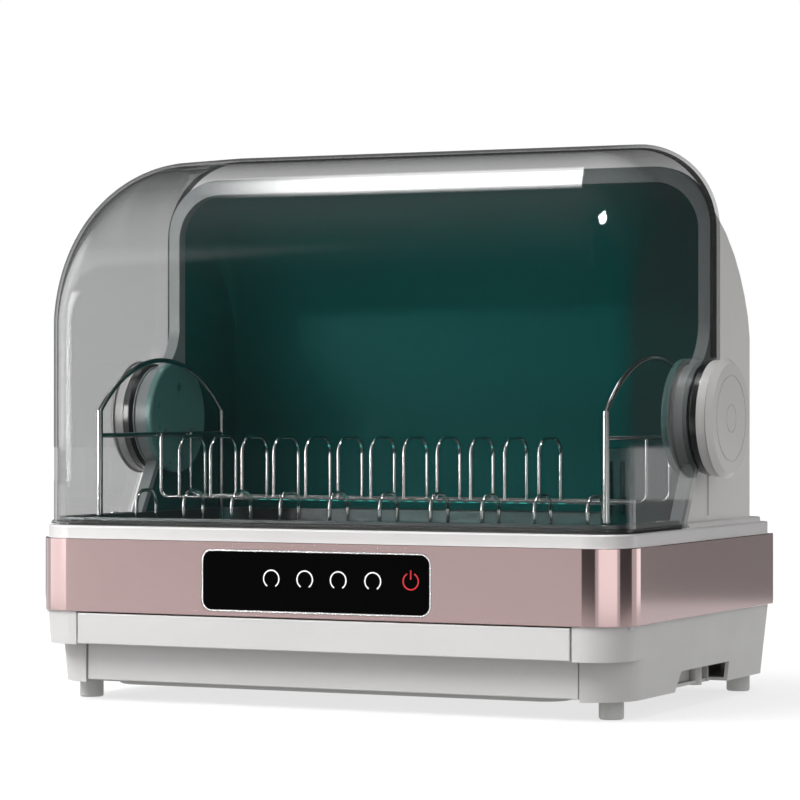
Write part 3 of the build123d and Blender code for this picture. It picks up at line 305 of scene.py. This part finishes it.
def lid_surface():
    bm = bmesh.new()
    rows = lid_profile()
    slope = 14
    s0 = rows[-1]
    dy, dz = math.sin(B_END), math.cos(B_END)

    def point(row, phi, t=0.0):
        kind, py, pz, ny, nz, r = row
        drop = r * (1 - math.cos(phi))
        y, z = py + ny * drop, pz + nz * drop
        if t > 0.0:
            length = (REAR - py - ny * drop) / dy
            y, z = y + dy * length * t, z + dz * length * t
        return y, z, HX - r + r * math.sin(phi)

    steps = [(r, 0.0) for r in rows] + [(s0, (i + 1) / slope) for i in range(slope)]
    n_phi, n_u = 18, 36
    grid = []
    for row, t in steps:
        line = []
        left = [point(row, math.pi / 2 * (n_phi - k) / n_phi, t) for k in range(n_phi + 1)]
        for y, z, x in left:
            line.append((-x, y, z))
        y, z, x = point(row, 0.0, t)
        for k in range(1, n_u):
            line.append((-x + 2 * x * k / n_u, y, z))
        for y, z, x in reversed(left):
            line.append((x, y, z))
        grid.append([bm.verts.new((a / 1000, Y(b), c / 1000)) for a, b, c in line])
    for i in range(len(grid) - 1):
        for k in range(len(grid[0]) - 1):
            bm.faces.new((grid[i][k], grid[i][k + 1], grid[i + 1][k + 1], grid[i + 1][k]))

    # side plates, drawn as rays from the hinge axis
    slant = math.tan(math.radians(31.0))
    edge = [point(row, math.pi / 2, t)[:2] for row, t in steps]
    y_slant = HY_ - (HZ - Z_LIP) * slant
    bottom = [(y_slant + (edge[0][0] - y_slant) * i / 16, Z_LIP) for i in range(16)]
    z_top = edge[-1][1]
    z_ear = HZ + math.sqrt(43.0 ** 2 - (REAR - HY_) ** 2)
    rear = [(REAR, z_top + (z_ear - z_top) * i / 12) for i in range(1, 13)]
    outline = bottom + edge + rear
    a0 = math.atan2(outline[0][1] - HZ, outline[0][0] - HY_)
    a1 = math.atan2(outline[-1][1] - HZ, outline[-1][0] - HY_)
    while a1 > a0:
        a1 -= 2 * math.pi
    n_ear = 40
    ear = [a1 + (a0 - 2 * math.pi - a1) * i / n_ear for i in range(1, n_ear)]
    for side in (1, -1):
        sector = []
        angles = []
        for y, z in outline:
            a = math.atan2(z - HZ, y - HY_)
            angles.append(a)
            line = []
            for k in range(9):
                t = k / 8
                r0y, r0z = HY_ + 43.0 * math.cos(a), HZ + 43.0 * math.sin(a)
                line.append(bm.verts.new((side * HX / 1000, Y(r0y + (y - r0y) * t), (r0z + (z - r0z) * t) / 1000)))
            sector.append(line)
        for i in range(len(sector) - 1):
            for k in range(8):
                quad = (sector[i][k], sector[i][k + 1], sector[i + 1][k + 1], sector[i + 1][k])
                if len({tuple(round(c, 7) for c in v.co) for v in quad}) > 2:
                    bm.faces.new(quad)
        ring_angles = angles + ear
        inner = [
            bm.verts.new((side * HX / 1000, Y(HY_ + 34.1 * math.cos(a)), (HZ + 34.1 * math.sin(a)) / 1000))
            for a in ring_angles
        ]
        outer = [line[0] for line in sector] + [
            bm.verts.new((side * HX / 1000, Y(HY_ + 43.0 * math.cos(a)), (HZ + 43.0 * math.sin(a)) / 1000))
            for a in ear
        ]
        n = len(inner)
        for i in range(n):
            j = (i + 1) % n
            bm.faces.new((inner[i], outer[i], outer[j], inner[j]))

    # flared lip along the lower edge
    low = rows[0]
    corner = [(point(low, math.pi / 2 * k / n_phi), math.pi / 2 * k / n_phi) for k in range(n_phi + 1)]
    path = []
    for y, z in bottom:
        path.append((HX, y, 1.0, 0.0))
    for (y, z, x), phi in reversed(corner):
        path.append((x, y, math.sin(phi), -math.cos(phi)))
    xe = HX - R0
    for k in range(1, n_u):
        path.append((xe - 2 * xe * k / n_u, 9.6, 0.0, -1.0))
    for (y, z, x), phi in corner:
        path.append((-x, y, -math.sin(phi), -math.cos(phi)))
    for y, z in reversed(bottom):
        path.append((-HX, y, -1.0, 0.0))
    lip = ((Z_LIP, 0.0), (140.45, 0.55), (140.1, 1.15), (139.5, 1.6), (138.9, 1.9), (138.05, 2.0))
    strip = []
    for x, y, nx, ny in path:
        strip.append([bm.verts.new(((x + nx * o) / 1000, Y(y + ny * o), z / 1000)) for z, o in lip])
    for i in range(len(strip) - 1):
        for k in range(len(lip) - 1):
            bm.faces.new((strip[i][k], strip[i + 1][k], strip[i + 1][k + 1], strip[i][k + 1]))
    bmesh.ops.remove_doubles(bm, verts=bm.verts, dist=2e-6)
    bmesh.ops.dissolve_degenerate(bm, dist=1e-7, edges=bm.edges)
    bmesh.ops.recalc_face_normals(bm, faces=bm.faces)
    # outward check on the front face
    f = min(bm.faces, key=lambda q: q.calc_center_median().y)
    if f.normal.y > 0:
        bmesh.ops.reverse_faces(bm, faces=bm.faces)
    mesh = bpy.data.meshes.new("lid_skin")
    bm.to_mesh(mesh)
    bm.free()
    return mesh


skin = bpy.data.objects.new("lid_skin", lid_surface())
bpy.context.scene.collection.objects.link(skin)
sol = skin.modifiers.new("wall", "SOLIDIFY")
sol.thickness = 0.0027
sol.offset = -1.0
sol.use_even_offset = True
sol.use_rim = True
bpy.context.view_layer.update()
dg = bpy.context.evaluated_depsgraph_get()
lid_mesh = bpy.data.meshes.new_from_object(skin.evaluated_get(dg))
bpy.data.objects.remove(skin)
smooth(lid_mesh, 40.0)
lid = link("clear_lid", lid_mesh, "lid", "lid")
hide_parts("lid_shell")


# ---------------------------------------------------------------- touch marks on the glass
def flat_mark(name, polys, y_front, y_back, key):
    """Closed thin solids from outlines in the X-Z plane, mm."""
    bm = bmesh.new()
    for loop_out, loop_in in polys:
        n = len(loop_out)
        fo = [bm.verts.new((x / 1000, Y(y_front), z / 1000)) for x, z in loop_out]
        fi = [bm.verts.new((x / 1000, Y(y_front), z / 1000)) for x, z in loop_in]
        bo = [bm.verts.new((x / 1000, Y(y_back), z / 1000)) for x, z in loop_out]
        bi = [bm.verts.new((x / 1000, Y(y_back), z / 1000)) for x, z in loop_in]
        for i in range(n - 1):
            bm.faces.new((fo[i], fo[i + 1], fi[i + 1], fi[i]))
            bm.faces.new((bo[i], bi[i], bi[i + 1], bo[i + 1]))
            bm.faces.new((fo[i], bo[i], bo[i + 1], fo[i + 1]))
            bm.faces.new((fi[i], fi[i + 1], bi[i + 1], bi[i]))
        bm.faces.new((fo[0], fi[0], bi[0], bo[0]))
        bm.faces.new((fo[-1], bo[-1], bi[-1], fi[-1]))
    bmesh.ops.recalc_face_normals(bm, faces=bm.faces)
    mesh = bpy.data.meshes.new(name)
    bm.to_mesh(mesh)
    bm.free()
    return mesh


def ring_arc(cx, cz, r_out, r_in, a0, a1, n=48):
    out, inn = [], []
    for i in range(n + 1):
        a = math.radians(a0 + (a1 - a0) * i / n)
        out.append((cx + r_out * math.cos(a), cz + r_out * math.sin(a)))
        inn.append((cx + r_in * math.cos(a), cz + r_in * math.sin(a)))
    return out, inn


def lit(name, color, strength, rough=0.4):
    m, nt, p = new_material(name)
    vec = coords(nt)
    nt.links.new(
        ramp(nt, noise(nt, vec, 300.0), tuple(c * 0.94 for c in color), color), p.inputs["Base Color"]
    )
    nt.links.new(to_range(nt, noise(nt, vec, 200.0), rough * 0.9, rough * 1.1), p.inputs["Roughness"])
    p.inputs["Emission Color"].default_value = (*color, 1)
    p.inputs["Emission Strength"].default_value = strength
    return m


M["mark_white"] = lit("mark_white", (0.85, 0.85, 0.85), 0.35)
M["mark_red"] = lit("mark_red", (0.42, 0.010, 0.016), 0.4)

link(
    "touch_rings",
    flat_mark(
        "touch_rings",
        [ring_arc(x, 99.6, 7.0, 6.05, -58, 238) for x in (-36.6, -8.2, 20.0, 48.8)],
        0.28, 0.46, "mark_white",
    ),
    "mark_white", "cabinet",
)
link(
    "power_mark",
    flat_mark(
        "power_mark",
        [
            ring_arc(80.1, 100.3, 6.7, 5.7, 118, 422),
            ([(79.6, 108.6), (79.6, 101.6)], [(80.6, 108.6), (80.6, 101.6)]),
        ],
        0.28, 0.46, "mark_red",
    ),
    "mark_red", "cabinet",
)

def rounded(cx, cz, w, h, r, n=10):
    """Rounded rectangle in the X-Z plane, mm."""
    pts = []
    for ax, az, start in ((1, 1, 0), (-1, 1, 90), (-1, -1, 180), (1, -1, 270)):
        for i in range(n + 1):
            a = math.radians(start + 90 * i / n)
            pts.append((cx + ax * (w / 2 - r) + r * math.cos(a), cz + az * (h / 2 - r) + r * math.sin(a)))
    return pts


def closed_ring(name, outer, inner, y_front, y_back):
    """Closed thin solid between two outlines with the same number of points."""
    bm = bmesh.new()
    rows = [
        [bm.verts.new((x / 1000, Y(y), z / 1000)) for x, z in pts]
        for pts, y in ((outer, y_front), (inner, y_front), (inner, y_back), (outer, y_back))
    ]
    n = len(outer)
    for k in range(4):
        a, b = rows[k], rows[(k + 1) % 4]
        for i in range(n):
            j = (i + 1) % n
            bm.faces.new((a[i], a[j], b[j], b[i]))
    bmesh.ops.recalc_face_normals(bm, faces=bm.faces)
    mesh = bpy.data.meshes.new(name)
    bm.to_mesh(mesh)
    bm.free()
    return mesh


# painted highlight: a thin bright metal ring standing in for the light caught on the rounded edge of the control glass
M["glass_edge_highlight"] = metal("glass_edge_highlight", (0.80, 0.79, 0.79), 0.22, (1, 1, 1), 300.0, 0.000001, 0.03)
link(
    "glass_edge_highlight",
    closed_ring("glass_edge_highlight", rounded(0, 97.5, 193.0, 47.0, 8.5), rounded(0, 97.5, 191.0, 45.0, 7.5), 0.22, 0.9),
    "glass_edge_highlight", "cabinet",
)


def slab(name, x0, x1, y0, y1, z0, z1, r):
    """Flat web with rounded upper corners, thin along X."""
    pts = [(y0, z0)]
    for cy, start in ((y0 + r, 180), (y1 - r, 90)):
        for i in range(7):
            a = math.radians(start - 90 * i / 6)
            pts.append((cy + r * math.cos(a), z1 - r + r * math.sin(a)))
    pts.append((y1, z0))
    bm = bmesh.new()
    a = [bm.verts.new((x0 / 1000, Y(y), z / 1000)) for y, z in pts]
    b = [bm.verts.new((x1 / 1000, Y(y), z / 1000)) for y, z in pts]
    bm.faces.new(a)
    bm.faces.new(list(reversed(b)))
    for i in range(len(pts)):
        j = (i + 1) % len(pts)
        bm.faces.new((a[i], b[i], b[j], a[j]))
    bmesh.ops.recalc_face_normals(bm, faces=bm.faces)
    mesh = bpy.data.meshes.new(name)
    bm.to_mesh(mesh)
    bm.free()
    return mesh


# web behind each grip notch, between the ribs of the housing
for tag, side in (("right", 1), ("left", -1)):
    link("notch_web_" + tag, slab("notch_web_" + tag, side * 221.0, side * 222.6, 122.0, 250.0, 14.3, 60.0, 3.0), "base", "cabinet")

# ---------------------------------------------------------------- floor, light, camera
floor_mesh = bpy.data.meshes.new("floor")
bm = bmesh.new()
bmesh.ops.create_circle(bm, cap_ends=True, cap_tris=False, segments=96, radius=14.0)
bm.to_mesh(floor_mesh)
bm.free()
floor = bpy.data.objects.new("floor", floor_mesh)
floor.location = (0, 0, -0.0002)
bpy.context.scene.collection.objects.link(floor)
fm, fnt, fp = new_material("floor_paper")
fvec = coords(fnt)
fnt.links.new(ramp(fnt, noise(fnt, fvec, 3.0), (0.20, 0.20, 0.20), (0.21, 0.21, 0.21)), fp.inputs["Base Color"])
fp.inputs["Roughness"].default_value = 0.9
fp.inputs["Emission Color"].default_value = (1, 1, 1, 1)
fp.inputs["Emission Strength"].default_value = 0.70
fm.cycles.emission_sampling = "NONE"
floor_mesh.materials.append(fm)
floor.visible_diffuse = False
floor.visible_shadow = False

world = bpy.data.worlds.new("studio")
bpy.context.scene.world = world
world.use_nodes = True
wt = world.node_tree
wt.nodes.clear()


def wmath(op, a, b=None, c=None):
    n = wt.nodes.new("ShaderNodeMath")
    n.operation = op
    for k, v in enumerate((a, b, c)):
        if v is None:
            continue
        if isinstance(v, (int, float)):
            n.inputs[k].default_value = v
        else:
            wt.links.new(v, n.inputs[k])
    return n.outputs[0]


def wstep(v, lo, hi):
    n = wt.nodes.new("ShaderNodeMapRange")
    n.interpolation_type = "SMOOTHSTEP"
    n.inputs["From Min"].default_value = lo
    n.inputs["From Max"].default_value = hi
    wt.links.new(v, n.inputs["Value"])
    return n.outputs["Result"]


def window(v, lo, hi, soft_lo, soft_hi):
    rise = wstep(v, lo - soft_lo / 2, lo + soft_lo / 2)
    fall = wstep(v, hi - soft_hi / 2, hi + soft_hi / 2)
    return wmath("MULTIPLY", rise, wmath("SUBTRACT", 1.0, fall))


tc = wt.nodes.new("ShaderNodeTexCoord")
sx = wt.nodes.new("ShaderNodeSeparateXYZ")
wt.links.new(tc.outputs["Generated"], sx.inputs[0])
DX, DY, DZ = sx.outputs
# azimuth 0 in front, positive to the right; elevation and the tilt of the overhead strip, all in degrees
AZ = wmath("MULTIPLY", wmath("ARCTAN2", DX, wmath("MULTIPLY", DY, -1.0)), 180 / math.pi)
EL = wmath("MULTIPLY", wmath("ARCSINE", DZ), 180 / math.pi)
TILT = wmath("MULTIPLY", wmath("ARCTAN2", DY, DZ), 180 / math.pi)

glow = wmath("ADD", 0.16, wmath("MULTIPLY", wstep(EL, 10.0, 80.0), 0.26))
glow = wmath("MULTIPLY", glow, wmath("SUBTRACT", 1.0, wmath("MULTIPLY", wstep(DY, -0.15, 0.35), 0.72)))
for strength, az, el in (
    (5.0, (-88, -38, 12, 4), (-10, 40, 8, 16)),
    (0.45, (24, 62, 4, 8), (-10, 26, 8, 20)),
    (2.0, (-17, 5, 8, 8), (36, 62, 8, 10)),
):
    box = wmath("MULTIPLY", window(AZ, *az), window(EL, *el))
    glow = wmath("ADD", glow, wmath("MULTIPLY", box, strength))
strip = wmath("MULTIPLY", window(TILT, 11.0, 29.0, 5.0, 9.0), window(DX, -0.462, -0.3457, 0.05, 0.004))
strip = wmath("MULTIPLY", strip, wstep(DZ, 0.2, 0.4))
glow = wmath("ADD", glow, wmath("MULTIPLY", strip, 15.0))

bg = wt.nodes.new("ShaderNodeBackground")
wt.links.new(glow, bg.inputs["Strength"])
# what matt surfaces are lit by: an even surround, dimmer below, and one broad soft light high on the left
soft = wmath("ADD", 0.36, wmath("MULTIPLY", wstep(EL, -8.0, 10.0), 0.46))
soft = wmath("SUBTRACT", soft, wmath("MULTIPLY", wstep(EL, 45.0, 80.0), 0.40))
key = wmath("MULTIPLY", window(AZ, -72.0, -14.0, 14.0, 14.0), window(EL, 34.0, 66.0, 10.0, 10.0))
soft = wmath("ADD", soft, wmath("MULTIPLY", key, 10.0))
matt = wt.nodes.new("ShaderNodeBackground")
matt.inputs["Color"].default_value = (1, 1, 1, 1)
wt.links.new(soft, matt.inputs["Strength"])
white = wt.nodes.new("ShaderNodeBackground")
white.inputs["Color"].default_value = (1, 1, 1, 1)
bg.inputs["Color"].default_value = (1, 1, 1, 1)
white.inputs["Strength"].default_value = 1.0
lp = wt.nodes.new("ShaderNodeLightPath")
mix = wt.nodes.new("ShaderNodeMixShader")
wout = wt.nodes.new("ShaderNodeOutputWorld")
pick = wt.nodes.new("ShaderNodeMixShader")
wt.links.new(lp.outputs["Is Glossy Ray"], pick.inputs[0])
wt.links.new(matt.outputs[0], pick.inputs[1])
wt.links.new(bg.outputs[0], pick.inputs[2])
wt.links.new(lp.outputs["Is Camera Ray"], mix.inputs[0])
wt.links.new(pick.outputs[0], mix.inputs[1])
wt.links.new(white.outputs[0], mix.inputs[2])
wt.links.new(mix.outputs[0], wout.inputs[0])


def area(name, loc, target, size, power, color=(1, 1, 1)):
    light = bpy.data.lights.new(name, "AREA")
    light.shape = "RECTANGLE"
    light.size, light.size_y = size
    light.energy = power
    light.color = color
    ob = bpy.data.objects.new(name, light)
    ob.location = loc
    ob.rotation_euler = (Vector(target) - Vector(loc)).to_track_quat("-Z", "Y").to_euler()
    bpy.context.scene.collection.objects.link(ob)
    return ob


spark = area("spark", (0.70, -0.50, 2.37), (0.21, -0.12, 0.376), (0.42, 0.24), 90.0)
spark.visible_diffuse = False

# low curved cards round the object: they only shape what the band and the lid's corners mirror
def card(name, az0, az1, emission, radius=1.4, height=0.4, foot=0.002):
    bm_ = bmesh.new()
    n = max(2, int(abs(az1 - az0) / 4))
    low, high = [], []
    for i in range(n + 1):
        a = math.radians(az0 + (az1 - az0) * i / n)
        x, y = radius * math.sin(a), -radius * math.cos(a)
        low.append(bm_.verts.new((x, y, foot)))
        high.append(bm_.verts.new((x, y, height)))
    for i in range(n):
        bm_.faces.new((low[i], low[i + 1], high[i + 1], high[i]))
    me = bpy.data.meshes.new(name)
    bm_.to_mesh(me)
    bm_.free()
    m, nt, p = new_material(name)
    p.inputs["Base Color"].default_value = (0.02, 0.02, 0.02, 1)
    p.inputs["Roughness"].default_value = 0.9
    p.inputs["Emission Color"].default_value = (1, 1, 1, 1)
    p.inputs["Emission Strength"].default_value = emission
    m.cycles.emission_sampling = "NONE"
    me.materials.append(m)
    ob = bpy.data.objects.new(name, me)
    bpy.context.scene.collection.objects.link(ob)
    ob.visible_camera = False
    ob.visible_diffuse = False
    ob.visible_shadow = False
    return ob


card("card_dark_front", -8, 21, 0.0, height=0.13)
card("card_white_right", 28, 68, 2.3, height=0.13)
card("card_dark_right", 74, 107, 0.0, height=0.13)
card("card_white_back", 125, 143, 2.2, height=0.12)
card("card_grey_back", 144.5, 172, 0.31, height=0.12)
card("card_white_left", -85, -37, 2.3, height=0.14)
card("card_dark_left", -175, -119, 0.0, height=0.14)
card("card_streak_left", -47, -38, 42.0, height=0.70, foot=0.145)

cam_data = bpy.data.cameras.new("camera")
cam_data.sensor_width = 36.0
cam_data.lens = 148.85
cam_data.clip_end = 100.0
cam = bpy.data.objects.new("camera", cam_data)
cam.location = (1.124434, -2.387024, 0.235)
cam.rotation_euler = (math.radians(90), 0, math.radians(25.3601))
bpy.context.scene.collection.objects.link(cam)
bpy.context.scene.camera = cam
bpy.context.scene.view_settings.view_transform = "Standard"
